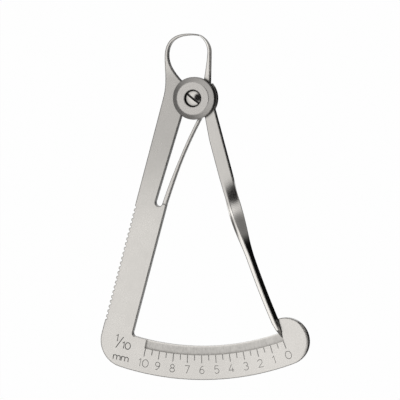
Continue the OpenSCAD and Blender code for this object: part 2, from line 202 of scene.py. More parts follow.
class Graph:
    """The nodes of one material or of the world."""

    def __init__(self, owner: Union[bpy.types.Material, bpy.types.World]) -> None:
        """Empties the owner's nodes."""
        owner.use_nodes = True
        self.tree = owner.node_tree
        self.tree.nodes.clear()

    def add(self, kind: str, settings: Settings = None, sockets: Sockets = None) -> bpy.types.Node:
        """Adds any node.

        Args:
            kind: the node's type.
            settings: its properties, set before its sockets.
            sockets: the values or wires of its inputs, by name or place.

        Returns:
            The new node.
        """
        node = self.tree.nodes.new(kind)
        for name, value in (settings or {}).items():
            setattr(node, name, value)
        for key, value in (sockets or {}).items():
            if isinstance(value, Wire):
                self.tree.links.new(value.socket, node.inputs[key])
            else:
                node.inputs[key].default_value = value
        return node

    def wire(
        self, kind: str, settings: Settings = None, sockets: Sockets = None, output: Union[int, str] = 0
    ) -> Wire:
        """Adds any node, as add does, and gives one of its outputs by name or place."""
        return Wire(self, self.add(kind, settings, sockets).outputs[output])

    def place(self) -> Wire:
        """Object coordinates in millimetres."""
        raw = self.wire("ShaderNodeTexCoord", output="Object")
        return self.vector("SCALE", raw, Scale=1 / MM)

    def vector(self, operation: str, *terms: Value, output: str = "Vector", **named: Value) -> Wire:
        """Adds a Vector Math node that takes the given terms in order and any named input."""
        sockets = {**dict(enumerate(terms)), **named}
        return self.wire("ShaderNodeVectorMath", {"operation": operation}, sockets, output)

    def split(self, vector: Wire) -> tuple[Wire, Wire, Wire]:
        """The three numbers of a vector."""
        node = self.add("ShaderNodeSeparateXYZ", sockets={0: vector})
        return Wire(self, node.outputs[0]), Wire(self, node.outputs[1]), Wire(self, node.outputs[2])

    def radius(self, place: Wire) -> Wire:
        """Distance of a place from the pivot's axis."""
        flat = self.vector("MULTIPLY", place, (1.0, 1.0, 0.0))
        return self.vector("LENGTH", flat, output="Value")

    def dot(self, vector: Wire, other: Value) -> Wire:
        """How far a vector goes along another."""
        return self.vector("DOT_PRODUCT", vector, other, output="Value")

    def bevel(self, radius: float, samples: int) -> Wire:
        """The surface's direction with its edges rounded by a radius in millimetres."""
        return self.wire("ShaderNodeBevel", {"samples": samples}, {"Radius": radius * MM})

    def noise(self, vector: Wire, scale: float, detail: float = 3.0) -> Wire:
        """Cloudy noise from 0 to 1, with that many cells to a unit of the vector."""
        return self.wire("ShaderNodeTexNoise", sockets={"Vector": vector, "Scale": scale, "Detail": detail})

    def mix(self, share: Value, first: Value, second: Value) -> Wire:
        """Goes from the first colour or direction to the second as the share goes from 0 to 1.

        Args:
            share: the share of the second.
            first: a wire, or a colour's three numbers.
            second: the same.

        Returns:
            The mixture.
        """
        ends = [value if isinstance(value, Wire) else (*value, 1.0) for value in (first, second)]
        sockets = {0: share, 6: ends[0], 7: ends[1]}
        return self.wire("ShaderNodeMix", {"data_type": "RGBA"}, sockets, 2)

    def close(self, shader: Wire, kind: str = "ShaderNodeOutputMaterial") -> None:
        """Ends the graph in its output node."""
        self.add(kind, sockets={"Surface": shader})


class Lay(Enum):
    """The way that a grinding wheel or a turning tool ran over a piece."""

    ALONG_ARM = "along the notched arm"
    ALONG_STRIP = "along the pointer's strip"
    ROUND_PIVOT = "round the pivot"


class Surface:
    """What a finish starts from; the nodes of each value are added when it is first asked for."""

    def __init__(self, graph: Graph) -> None:
        """Keeps the material's graph."""
        self.graph = graph

    @cached_property
    def place(self) -> Wire:
        """Object coordinates in millimetres."""
        return self.graph.place()

    @cached_property
    def axes(self) -> tuple[Wire, Wire, Wire]:
        """The place's X, Y and Z."""
        return self.graph.split(self.place)

    @cached_property
    def radius(self) -> Wire:
        """Distance from the pivot's axis."""
        return self.graph.radius(self.place)

    @cached_property
    def normal(self) -> Wire:
        """The surface's own direction."""
        return self.graph.wire("ShaderNodeNewGeometry", output="Normal")

    @cached_property
    def facing(self) -> Wire:
        """How far the surface faces the reader, from -1 to 1."""
        return self.graph.split(self.normal)[2]

    @cached_property
    def face(self) -> Wire:
        """One on front and back faces, and nought on side walls."""
        return self.facing.size().ease(*WALL_FACING)

    @cached_property
    def front(self) -> Wire:
        """One on front faces, and nought on slopes, side walls and backs."""
        return self.facing.ease(*FRONT_FACING)


@dataclass(frozen=True)
class SteelFinish:
    """Bare steel with the lines that its grinding or turning left.

    Base colour is the tint times a tone. The tone is one plus a share of broad clouds, a share of the fine
    lines and a share of grit, each counted from its middle. Painted shade darkens the side walls, the edges
    and deep corners. A bevel of the normals rounds the edges, and the lines and the grit bump the surface.
    """

    name: str
    tint: Colour = (0.675, 0.652, 0.618)
    lay: Lay = Lay.ALONG_ARM
    roughness: float = 0.26
    clouds: float = 0.18
    lines: float = 0.14
    grit: float = 0.12
    bump: float = 0.12
    # Painted shade on side walls: their tone.
    wall_tone: float = 0.5
    wall_rough: float = 0.26
    edge_mm: float = 0.42
    # Painted shade along edges: their tone.
    edge_tone: float = 0.7
    edge_samples: int = 6
    # Painted shade in deep corners: how much it darkens them.
    soil: float = 0.85

    def lines_of(self, surface: Surface) -> Wire:
        """Fine lines that follow the lay, from 0 to 1: noise drawn out along them.

        Args:
            surface: the surface to shade.

        Returns:
            The lines.
        """
        graph = surface.graph
        if self.lay is Lay.ROUND_PIVOT:
            across = graph.wire("ShaderNodeCombineXYZ", sockets={0: surface.radius, 1: surface.axes[2]})
            return graph.noise(across, TURNED_CELLS, FINE_DETAIL)
        lean = math.radians(ARM_ANGLE if self.lay is Lay.ALONG_ARM else -STRIP_ANGLE)
        turned = graph.wire("ShaderNodeMapping", sockets={0: surface.place, "Rotation": (0, 0, lean)})
        return graph.noise(graph.vector("MULTIPLY", turned, GROUND_CELLS), 1.0, FINE_DETAIL)

    def rounded(self, surface: Surface) -> Wire:
        """The surface's direction with its edges rounded."""
        return surface.graph.bevel(self.edge_mm, self.edge_samples)

    def softened(self, surface: Surface, direction: Wire) -> Wire:
        """The rounded direction after any broader rounding, which leaves the edges' tone alone."""
        return direction

    def zones(self, surface: Surface, tone: Wire, rough: Wire) -> tuple[Wire, Wire]:
        """Tone and roughness after any zones of the piece that differ from the rest."""
        return tone, rough

    def material(self) -> bpy.types.Material:
        """Builds the finish.

        Returns:
            The material.
        """
        made = bpy.data.materials.new(self.name)
        graph = Graph(made)
        surface = Surface(graph)
        rounded = self.rounded(surface)
        edge = (1 - graph.dot(rounded, surface.normal)).ease(*EDGE_TURN)
        wall = 1 - surface.face
        clouds = graph.noise(surface.place, CLOUD_CELLS, FINE_DETAIL)
        lines = self.lines_of(surface)
        grit = graph.noise(surface.place, GRIT_CELLS, GRIT_DETAIL)
        tone = 1 + clouds.swing(self.clouds) + lines.swing(self.lines) + grit.swing(self.grit)
        # Painted shade: side walls and edges are darker.
        tone = tone.where(wall, self.wall_tone).where(edge, self.edge_tone)
        rough = self.roughness + clouds.swing(ROUGH_CLOUDS) + lines.swing(ROUGH_LINES)
        rough = rough + (self.wall_rough - self.roughness) * wall
        tone, rough = self.zones(surface, tone, rough)
        # Painted shade: darker where little open sky is within reach, in corners, slots and under other
        # parts.
        reach = {"Distance": CORNER_SHADE_MM * MM}
        sky = graph.wire("ShaderNodeAmbientOcclusion", {"samples": SKY_SAMPLES}, reach, "AO")
        tone = tone.where(1 - sky.ease(*OPEN_SKY), 1 - self.soil)
        colour = graph.vector("SCALE", self.tint, Scale=tone)
        height = LINE_HEIGHT * lines + GRIT_HEIGHT * grit
        relief = {"Strength": self.bump, "Distance": BUMP_MM * MM, "Height": height}
        bump = graph.wire("ShaderNodeBump", sockets={**relief, "Normal": self.softened(surface, rounded)})
        looks = {"Base Color": colour, "Metallic": 1.0, "Roughness": rough, "Normal": bump}
        graph.close(graph.wire("ShaderNodeBsdfPrincipled", sockets=looks))
        return made


@dataclass(frozen=True)
class ScaleSteel(SteelFinish):
    """Steel of the scale frame.

    The recess of the reading band is rougher, and its walls are shaded as slopes, as a cutter leaves them,
    and made lighter by painted light. On its floor the tone drops, and fine lines run across it: noise over
    the length of arc, drawn out along the radius, with softer spots. A painted highlight lightens the recess
    along its inner edge, where the floor's tone also drops less. The edges round the marks and the notches
    stay crisp, and the lobe's rim is broadly rounded. Painted shade darkens the upper arm, and painted light
    brightens the lobe, the jaw and the jaw's walls.
    """

    band_tone: float = 0.88
    band_lines: float = 0.4
    band_spots: float = 0.3
    band_cells: float = 3.2
    band_draw: float = 0.12
    spot_cells: float = 1.3
    # Painted highlight at the recess's inner edge: its reach, the least share of the floor's drop there, and
    # its tone.
    fringe: float = 1.1
    fringe_least: float = 0.2
    lip_tone: float = 1.35
    sunk_rough: float = 0.14
    # Painted light on the recess's walls.
    sunk_wall_tone: float = 9.6
    sunk_slope: float = 1.4
    sunk_border: float = 0.1
    sunk_rim: float = 0.08
    crisp_x: Span = (-18.0, 27.5)
    crisp_r: float = 76.6
    crisp_border: float = 0.2
    end_border: float = 1.0
    notch_off: float = 8.0
    notch_s: Span = (34.0, 68.0)
    notch_crisp: float = 0.8
    # Painted shade on the upper arm.
    upper_tone: float = 0.72
    upper_y: Span = (-40.0, -10.0)
    # Painted light on the lobe.
    lobe_tone: float = 1.12
    lobe_x: Span = (0.0, 26.0)
    lobe_edge_mm: float = 1.0
    lobe_edge_x: Span = (29.5, 33.0)
    lobe_samples: int = 12
    # Painted light on the jaw's face and its walls.
    jaw_tone: float = 1.3
    jaw_wall_tone: float = 1.5
    jaw_y: Span = (5.0, 10.0)

    def sunk(self, surface: Surface) -> Wire:
        """One in the recess of the reading band, on its floor and its walls, and nought elsewhere."""
        height = surface.axes[2].within(BAND_Z, PLATE_T - self.sunk_border, self.sunk_border, self.sunk_rim)
        return height * surface.radius.within(SCALE_IN_R, BAND_OUT_R, self.sunk_border, self.sunk_border)

    def notched(self, surface: Surface) -> Wire:
        """One along the arm's notched edge and nought elsewhere.

        Args:
            surface: the surface to shade.

        Returns:
            The mask.
        """
        off, along = (surface.graph.dot(surface.place, (*axis, 0.0)) for axis in arm_axes())
        edge = off.ease(self.notch_off - self.crisp_border, self.notch_off)
        return edge * along.within(*self.notch_s, self.end_border, self.end_border)

    def rounded(self, surface: Surface) -> Wire:
        """Leaves the edges of the marks and the notches crisp, and slopes the recess's walls.

        Args:
            surface: the surface to shade.

        Returns:
            The rounded direction.
        """
        graph, normal = surface.graph, surface.normal
        marks = surface.axes[0].within(*self.crisp_x, self.end_border, self.end_border)
        marks = marks * surface.radius.within(SCALE_IN_R, self.crisp_r, self.sunk_border, self.crisp_border)
        crisp = surface.front * marks.larger(self.notch_crisp * self.notched(surface))
        direction = graph.mix(crisp, super().rounded(surface), normal)
        slope = graph.vector("NORMALIZE", graph.vector("ADD", normal, (0.0, 0.0, self.sunk_slope)))
        return graph.mix(self.sunk(surface) * (1 - surface.front), direction, slope)

    def softened(self, surface: Surface, direction: Wire) -> Wire:
        """Rounds the rim of the lobe more broadly."""
        broad = surface.graph.bevel(self.lobe_edge_mm, self.lobe_samples)
        return surface.graph.mix(surface.axes[0].ease(*self.lobe_edge_x), direction, broad)

    def zones(self, surface: Surface, tone: Wire, rough: Wire) -> tuple[Wire, Wire]:
        """Adds the painted shade of the upper arm, the painted light of the lobe and the jaw, and the band.

        Args:
            surface: the surface to shade.
            tone: the tone so far.
            rough: the roughness so far.

        Returns:
            The tone and the roughness with the zones.
        """
        graph, face, radius = surface.graph, surface.face, surface.radius
        x, y, _ = surface.axes
        jaw = y.ease(*self.jaw_y)
        # Painted shade on the upper arm, and painted light on the lobe, the jaw and the jaw's walls.
        tone = tone.where(y.ease(*self.upper_y), self.upper_tone).where(x.ease(*self.lobe_x), self.lobe_tone)
        tone = tone.where(jaw * face, self.jaw_tone).where(jaw * (1 - face), self.jaw_wall_tone)
        sunk = self.sunk(surface)
        band = sunk * surface.front
        along = x.math("ARCTAN2", x, 0 - y) * BAND_OUT_R
        arc_place = graph.wire("ShaderNodeCombineXYZ", sockets={0: along, 1: y * self.band_draw})
        strokes = graph.noise(arc_place, self.band_cells)
        spots = graph.noise(surface.place, self.spot_cells)
        depth = radius.ease(SCALE_IN_R, SCALE_IN_R + self.fringe)
        band_tone = self.band_tone + strokes.swing(self.band_lines) + spots.swing(self.band_spots)
        # The band's floor is darker; less so near the inner edge, under the painted highlight.
        dull = band * (self.fringe_least + (1 - self.fringe_least) * depth)
        lip = sunk * (1 - radius.ease(SCALE_IN_R, SCALE_IN_R + self.fringe / 2))
        tone = tone * (1 - dull + dull * band_tone)
        # Painted highlight along the recess's inner edge, and painted light on the recess's walls.
        tone = tone.where(lip, self.lip_tone).where(sunk - band, self.sunk_wall_tone)
        return tone, rough + self.sunk_rough * sunk


@dataclass(frozen=True)
class PointerSteel(SteelFinish):
    """Steel of the pointer arm.

    Painted highlights brighten the blade's ground front edge past the twist and a spot on the twist. Painted
    light makes the jaw, the jaw's walls and the sides of the blade's nose lighter, and a painted highlight
    makes the jaw's point bright. The sides of the nose and the jaw's walls are duller in gloss.
    """

    # Painted highlight on the blade's ground front edge.
    ground_tone: float = 1.55
    ground_down: Span = (34.0, 40.0)
    ground_facing: Span = (0.8, 0.95)
    # Painted highlight on the twist.
    twist_tone: float = 1.7
    twist_y: float = -32.5
    twist_reach: float = 2.6
    # Painted light on the sides of the nose, which are duller in gloss too.
    nose_tone: float = 3.5
    nose_rough: float = 0.45
    nose_y: float = -66.0
    nose_reach: float = 2.0
    # Painted light on the jaw's face and walls; the walls are duller in gloss too.
    jaw_tone: float = 1.25
    jaw_wall_tone: float = 3.6
    jaw_rough: float = 0.5
    jaw_y: Span = (4.5, 8.0)
    # Painted highlight on the jaw's point.
    tip_tone: float = 1.5
    tip_y: Span = (12.0, 17.5)

    def zones(self, surface: Surface, tone: Wire, rough: Wire) -> tuple[Wire, Wire]:
        """Adds painted highlights and painted light on the ground edge, the twist, the nose, the jaw and its
        point.

        Args:
            surface: the surface to shade.
            tone: the tone so far.
            rough: the roughness so far.

        Returns:
            The tone and the roughness with the zones.
        """
        y, face = surface.axes[1], surface.face
        ground = (0 - y).ease(*self.ground_down) * surface.facing.ease(*self.ground_facing)
        twist = y.near(self.twist_y, self.twist_reach)
        jaw = y.ease(*self.jaw_y)
        jaw_wall = jaw * (1 - face)
        nose = y.near(self.nose_y, self.nose_reach) * (1 - face)
        # Painted highlights and painted light on the ground edge, the twist, the jaw, its point and the nose.
        tone = tone.where(ground, self.ground_tone).where(twist, self.twist_tone)
        tone = tone.where(jaw_wall, self.jaw_wall_tone).where(jaw * face, self.jaw_tone)
        tone = tone.where(y.ease(*self.tip_y), self.tip_tone).where(nose, self.nose_tone)
        return tone, rough + self.jaw_rough * jaw_wall + self.nose_rough * nose


@dataclass(frozen=True)
class EngravingPaint:
    """Dark matt paint that is rubbed into the engraving, thinner in places and towards the zero mark."""

    name: str
    dark: Colour = (0.05, 0.048, 0.045)
    thin: Colour = (0.2, 0.193, 0.182)
    worn: float = 0.35
    worn_x: Span = (-15.0, 22.0)
    wear_cells: float = 1.6
    wear_span: Span = (0.35, 0.75)
    roughness: float = 0.55
    worn_rough: float = 0.2

    def material(self) -> bpy.types.Material:
        """Builds the paint: noise and the wear along the scale mix the dark and the thin colour.

        Returns:
            The material.
        """
        made = bpy.data.materials.new(self.name)
        graph = Graph(made)
        place = graph.place()
        wear = graph.noise(place, self.wear_cells) + self.worn * graph.split(place)[0].ease(*self.worn_x)
        colour = graph.mix(wear.ease(*self.wear_span), self.dark, self.thin)
        looks = {"Base Color": colour, "Roughness": self.roughness + self.worn_rough * wear}
        graph.close(graph.wire("ShaderNodeBsdfPrincipled", sockets=looks))
        return made


@dataclass
class Skin:
    """Points in millimetres and faces of a mesh in the making."""

    points: np.ndarray
    faces: list[list[int]]

    @staticmethod
    def loft(rings: np.ndarray, closed: bool) -> "Skin":
        """Surface through rings of points.

        Point j of ring i is joined to point j + 1 of its own ring and to point j of the next ring. A closed
        row of rings comes back to its first ring; an open one has its end rings filled.

        Args:
            rings: an array of rings, points and coordinates.
            closed: whether the last ring joins the first.

        Returns:
            The closed surface.
        """
        count, size = rings.shape[:2]
        index = np.arange(count * size).reshape(count, size)
        here = index if closed else index[:-1]
        there = np.roll(index, -1, axis=0) if closed else index[1:]
        quads = np.stack([here, np.roll(here, -1, 1), np.roll(there, -1, 1), there], axis=-1).reshape(-1, 4)
        caps = [] if closed else [index[0][::-1].tolist(), index[-1].tolist()]
        return Skin(rings.reshape(-1, 3), quads.tolist() + caps)

    @staticmethod
    def joined(skins: Sequence["Skin"]) -> "Skin":
        """Several skins as one.

        Args:
            skins: the skins.

        Returns:
            One skin with all their points and faces.
        """
        starts = np.cumsum([0] + [len(skin.points) for skin in skins])
        faces = [[int(start) + i for i in face] for start, skin in zip(starts, skins) for face in skin.faces]
        return Skin(np.concatenate([skin.points for skin in skins]), faces)

    def piece(self, name: str, material: bpy.types.Material, slot: str) -> bpy.types.Object:
        """Makes a Blender object of the skin.

        Args:
            name: the piece's name.
            material: its finish.
            slot: not used.

        Returns:
            The object, at the origin, with outward faces.
        """
        mesh = bpy.data.meshes.new(name)
        mesh.from_pydata((self.points * MM).tolist(), [], self.faces)
        work = bmesh.new()
        work.from_mesh(mesh)
        bmesh.ops.recalc_face_normals(work, faces=work.faces)
        work.to_mesh(mesh)
        work.free()
        mesh.shade_smooth()
        mesh.set_sharp_from_angle(angle=math.radians(SHARP_ANGLE))
        mesh.materials.append(material)
        made = bpy.data.objects.new(name, mesh)
        bpy.context.scene.collection.objects.link(made)
        LOG.info("%s: %d faces", name, len(self.faces))
        return made


def carried(path: np.ndarray, section: np.ndarray, closed: bool) -> Skin:
    """Carries a section along a flat path.

    At each point the section's first number runs across the path, square to the mean of the directions before
    and after, and is divided by the cosine of half the corner's turn so that the width stays the same. Its
    second number runs up.

    Args:
        path: points in the plane, with a height as the third number.
        section: a closed outline of pairs, across and up.
        closed: whether the path's end joins its start.

    Returns:
        The surface.
    """
    after = np.roll(path, -1, axis=0) - path
    after /= np.maximum(np.linalg.norm(after, axis=1, keepdims=True), TINY)
    if not closed:
        after[-1] = after[-2]
    before = np.roll(after, 1, axis=0)
    if not closed:
        before[0] = after[0]
    mean = after + before
    mean /= np.linalg.norm(mean, axis=1, keepdims=True)
    stretch = 1 / np.clip(np.sum(mean * after, axis=1), CORNER_LEAST, 1.0)
    across = np.column_stack([-mean[:, 1], mean[:, 0], np.zeros(len(path))]) * stretch[:, None]
    up = np.array([0.0, 0.0, 1.0])
    rings = path[:, None] + section[None, :, :1] * across[:, None] + section[None, :, 1:] * up
    return Skin.loft(rings, closed)


def line(*corners: Span) -> np.ndarray:
    """Stroke through corners, in parts of a figure's height."""
    return np.array(corners, float)


def arc(centre: Span, half: Span, first: float, last: float) -> np.ndarray:
    """Stroke along an ellipse from one angle to another, in degrees, in parts of a figure's height."""
    turn = np.radians(np.linspace(first, last, max(ARC_LEAST, int(abs(last - first) / ARC_STEP) + 1)))
    return np.array(centre) + np.column_stack([np.cos(turn), np.sin(turn)]) * np.array(half)


def ring(centre: Span, half: Span) -> np.ndarray:
    """Closed stroke round an ellipse; its last point is its first."""
    return arc(centre, half, 0, 360)


def linked(*strokes: np.ndarray) -> np.ndarray:
    """Strokes drawn one after the other without lifting the pen."""
    return np.concatenate(strokes)


def figures() -> dict[str, list[np.ndarray]]:
    """Pen strokes of the engraved figures.

    Each stroke's points are in parts of the figure's height, from the foot at 0 to the head at 1, and from
    its middle outwards.

    Returns:
        A list of strokes for each figure.
    """
    six = [ring((0.0, 0.29), (0.29, 0.29)), arc((0.2, 0.29), (0.49, 0.71), 180, 88)]
    hump = arc((-0.25, 0.38), (0.25, 0.24), 180, 0)
    second_hump = hump + np.array([0.5, 0.0])
    flag = line((0.27, 1.0), (-0.2, 1.0), (-0.25, 0.55))
    return {
        "0": [ring((0.0, 0.5), (0.4, 0.5))],
        "1": [line((-0.2, 0.76), (0.04, 1.0), (0.04, 0.0))],
        "2": [linked(arc((0.0, 0.71), (0.3, 0.29), 165, -35), line((-0.32, 0.0), (0.34, 0.0)))],
        "3": [linked(arc((0.0, 0.75), (0.27, 0.25), 150, -80), arc((0.0, 0.27), (0.31, 0.27), 80, -150))],
        "4": [line((0.16, 0.0), (0.16, 0.55)), line((0.08, 1.0), (-0.34, 0.27), (0.36, 0.27))],
        "5": [linked(flag, arc((0.0, 0.31), (0.3, 0.31), 128, -145))],
        "6": six,
        "7": [line((-0.31, 1.0), (0.31, 1.0), (-0.08, 0.0))],
        "8": [ring((0.0, 0.76), (0.24, 0.24)), ring((0.0, 0.26), (0.31, 0.26))],
        "9": [np.array([0.0, 1.0]) - stroke for stroke in six],
        "m": [
            line((-0.5, 0.0), (-0.5, 0.62)),
            linked(hump, line((0.0, 0.0))),
            linked(second_hump, line((0.5, 0.0))),
        ],
        "/": [line((-0.26, 0.0), (0.26, 1.0))],
    }


@dataclass(frozen=True)
class UnitRow:
    """Figures of the unit: their place along and up from the unit's own, their height and their step."""

    text: str
    along: float
    up: float
    height: float = 1.95
    step: float = 1.25


@dataclass
class Engraving:
    """The painted engraving of the scale: its marks, its numbers and its unit."""

    paint: EngravingPaint
    mark_paint: EngravingPaint
    mark_w: float = 0.25
    mark_depth: float = 0.12
    mark_long: float = 2.3
    mark_short: float = 1.5
    fill_gap: float = 0.03
    fill_lip: float = 0.02
    fill_lift: float = 0.002
    fill_start: float = 0.02
    number_r: float = 78.1
    number_h: float = 2.2
    number_step: float = 1.62
    number_stroke: float = 0.17
    stroke_lip: float = 0.012
    stroke_root: float = 0.03
    unit_at: Span = (-22.3, -72.6)
    unit_tilt: float = -10.5
    unit_stroke: float = 0.25
    unit_rows: tuple[UnitRow, ...] = (
        UnitRow("1", -1.51, 2.95),
        UnitRow("/", -0.67, 1.78, height=3.5),
        UnitRow("10", 1.3, 1.23),
        UnitRow("mm", 0.5, -2.3, height=2.1, step=2.45),
    )

    def section(self, width: float) -> np.ndarray:
        """Outline of a stroke: a low flat ridge with sloping sides, rooted in the plate.

        Args:
            width: the stroke's width.

        Returns:
            Pairs of numbers, across and up.
        """
        half, inner = width / 2, width / 3
        top, foot = self.stroke_lip, -self.stroke_root
        ridge = [(half, 0.0), (inner, top), (-inner, top), (-half, 0.0)]
        return np.array(ridge + [(-inner, foot), (inner, foot)])

    def written(
        self, text: str, at: np.ndarray, tilt: float, height: float, step: float, stroke_w: float
    ) -> list[Skin]:
        """Writes figures in a row.

        A point is the row's middle, plus the figure's place along the row, plus the point's own two numbers
        times the height: the first along the row, and the second, less a half, square to it.

        Args:
            text: the figures.
            at: the middle of the row, half a height above its foot.
            tilt: the row's turn in degrees.
            height: the figures' height in millimetres.
            step: the distance from one figure to the next.
            stroke_w: the strokes' width.

        Returns:
            One skin for each stroke.
        """
        shapes = figures()
        section = self.section(stroke_w)
        right, above = row_axes(tilt)
        skins = []
        for place, sign in enumerate(text):
            start = (place - (len(text) - 1) / 2) * step
            for stroke in shapes[sign]:
                closed = bool(np.allclose(stroke[0], stroke[-1]))
                points = stroke[:-1] if closed else stroke
                along = start + points[:, :1] * height
                flat = at + along * right + (points[:, 1:] - 0.5) * height * above
                path = np.column_stack([flat, np.full(len(flat), PLATE_T)])
                skins.append(carried(path, section, closed))
        return skins

    def fills(self) -> list[Skin]:
        """Paint in the marks' grooves: a flat strip, just below the face, along each mark's radius.

        Returns:
            One skin for each mark.
        """
        half = self.mark_w / 2 - self.fill_gap
        low, high = PLATE_T - self.mark_depth + self.fill_lift, PLATE_T - self.fill_lip
        section = np.array([(half, low), (half, high), (-half, high), (-half, low)])
        skins = []
        for count in range(2 * SCALE_TO + 1):
            angle = mark_angle(count / 2)
            length = self.mark_short if count % 2 else self.mark_long
            radii = (BAND_OUT_R + self.fill_start, BAND_OUT_R + length - self.fill_gap)
            path = np.array([(*down(radius, angle), 0.0) for radius in radii])
            skins.append(carried(path, section, False))
        return skins

    def numbers(self) -> list[Skin]:
        """The scale's numbers, each upright on its mark's radius.

        Returns:
            One skin for each stroke.
        """
        skins = []
        for count in range(SCALE_TO + 1):
            angle = mark_angle(count)
            at = down(self.number_r, angle)
            skins += self.written(str(count), at, angle, self.number_h, self.number_step, self.number_stroke)
        return skins

    def unit(self) -> list[Skin]:
        """The unit's rows, each at its place along and up from the unit's own.

        Returns:
            One skin for each stroke.
        """
        right, above = row_axes(self.unit_tilt)
        skins = []
        for row in self.unit_rows:
            at = np.array(self.unit_at) + row.along * right + row.up * above
            skins += self.written(row.text, at, self.unit_tilt, row.height, row.step, self.unit_stroke)
        return skins

    def build(self) -> None:
        """Makes the marks, the numbers and the unit, and lets them ride on the frame."""
        paint, mark_paint = self.paint.material(), self.mark_paint.material()
        pieces = [
            ("scale_marks", self.fills(), mark_paint),
            ("scale_numbers", self.numbers(), paint),
            ("scale_unit", self.unit(), paint),
        ]
        for name, skins, material in pieces:
            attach(Skin.joined(skins).piece(name, material, "satin_steel"), "frame")


@dataclass
class LeafSpring:
    """The tongue of spring steel that is slit free of the arm, as one piece."""

    finish: SteelFinish
    arm_in_off: float = 0.35
    root_s: float = 31.9
    root_w: float = 1.15
    leaf_w: float = 0.74
    tip_w: float = 0.8
    tip_turn: Span = (10.0, 84.0)
    tip_steps: int = 9
    bow: float = 1.37
    bow_at: float = 0.57
    tip_gap: float = 0.05
    neck_off: float = 1.45
    neck_s: float = 4.6
    knee_off: float = 0.82
    knee_s: float = 12.75
    edge_r: float = 0.1
    edge_most: float = 0.9
    edge_steps: int = 5
    inset: float = 0.004
    stations: int = 72
    bend_from: Span = (-5.96, -14.17)
    bend_to: Span = (0.26, -15.41)

    def on_strip(self, off: float, along: float) -> np.ndarray:
        """Point beside the pointer strip's axis: its distance to the right, and its distance down it."""
        right, above = row_axes(STRIP_ANGLE)
        return off * right - along * above

    def rings(self) -> np.ndarray:
        """Sections of the leaf from its root to its round tip.

        The middle line is a quadratic Bezier from the root to the place beside the pointer's neck. Past its
        end the half width follows a circle. Each section is a rectangle of the plate's thickness with rounded
        corners.

        Returns:
            An array of sections, points and coordinates.
        """
        left, below = arm_axes()
        root = (self.arm_in_off + self.root_w / 2) * left + self.root_s * below
        neck = self.on_strip(self.neck_off, self.neck_s)
        knee = self.on_strip(self.knee_off, self.knee_s)
        way = (knee - neck) / np.linalg.norm(knee - neck)
        end = neck - (self.tip_gap + self.tip_w / 2) * np.array([-way[1], way[0]])
        way = (end - root) / np.linalg.norm(end - root)
        bend = root + self.bow_at * (end - root) + self.bow * np.array([-way[1], way[0]])
        part = np.linspace(0, 1, self.stations)
        share = part[:, None]
        middle = (1 - share) ** 2 * root + 2 * share * (1 - share) * bend + share**2 * end
        slope = 2 * (1 - share) * (bend - root) + 2 * share * (end - bend)
        slope /= np.linalg.norm(slope, axis=1, keepdims=True)
        round_turn = np.radians(np.linspace(*self.tip_turn, self.tip_steps))
        tip = end + slope[-1] * np.sin(round_turn)[:, None] * self.tip_w / 2
        middle = np.concatenate([middle, tip])
        slope = np.concatenate([slope, np.repeat(slope[-1:], len(tip), axis=0)])
        half = np.concatenate([self.half_width(part), np.cos(round_turn) * self.tip_w / 2])
        across = np.column_stack([-slope[:, 1], slope[:, 0]])
        offset, height = self.corners(half)
        flat = middle[:, None] + offset[..., None] * across[:, None]
        return np.concatenate([flat, height[..., None]], axis=-1)

    def corners(self, half: np.ndarray) -> tuple[np.ndarray, np.ndarray]:
        """Outlines of the sections: four quarter circles, one round each corner of a rectangle.

        Args:
            half: half the width of each section.

        Returns:
            How far each point of each section lies across the leaf, and its height.
        """
        radius = np.minimum(self.edge_r, half * self.edge_most)[:, None]
        quarter_turn = np.radians(np.linspace(0, 90, self.edge_steps))
        turns = np.concatenate([quarter_turn + quarter * math.pi / 2 for quarter in range(4)])
        side = np.repeat([1, -1, -1, 1], self.edge_steps)
        level = np.repeat([1, 1, -1, -1], self.edge_steps)
        thick = PLATE_T / 2 - self.inset
        offset = side * (half[:, None] - radius) + np.cos(turns) * radius
        height = PLATE_T / 2 + level * (thick - radius) + np.sin(turns) * radius
        return offset, height

    def half_width(self, part: np.ndarray) -> np.ndarray:
        """Half the leaf's width at parts of its length.

        The width eases from the root's to the leaf's over the first half, and from there to the tip's.

        Args:
            part: parts of the length, from 0 at the root to 1 at the tip.

        Returns:
            Half the width at each part, in millimetres.
        """
        first = self.root_w + (self.leaf_w - self.root_w) * eased(2 * part)
        rest = (self.tip_w - self.leaf_w) * eased(2 * part - 1)
        return (first + rest) / 2

    def build(self) -> None:
        """Makes the leaf in place of its solid."""
        steel = self.finish.material()
        spring = Skin.loft(self.rings(), False).piece("bending_spring", steel, "spring_steel")
        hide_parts("leaf_spring")
        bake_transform(spring)


@dataclass
class SolidParts:
    """The solids that keep their own shape and get a finish."""

    finishes: dict[str, SteelFinish]

    def build(self) -> None:
        """Gives each solid its finish."""
        for node, finish in self.finishes.items():
            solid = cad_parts[node]
            solid.data.materials.clear()
            solid.data.materials.append(finish.material())
            LOG.info("%s: %s", node, finish.name)


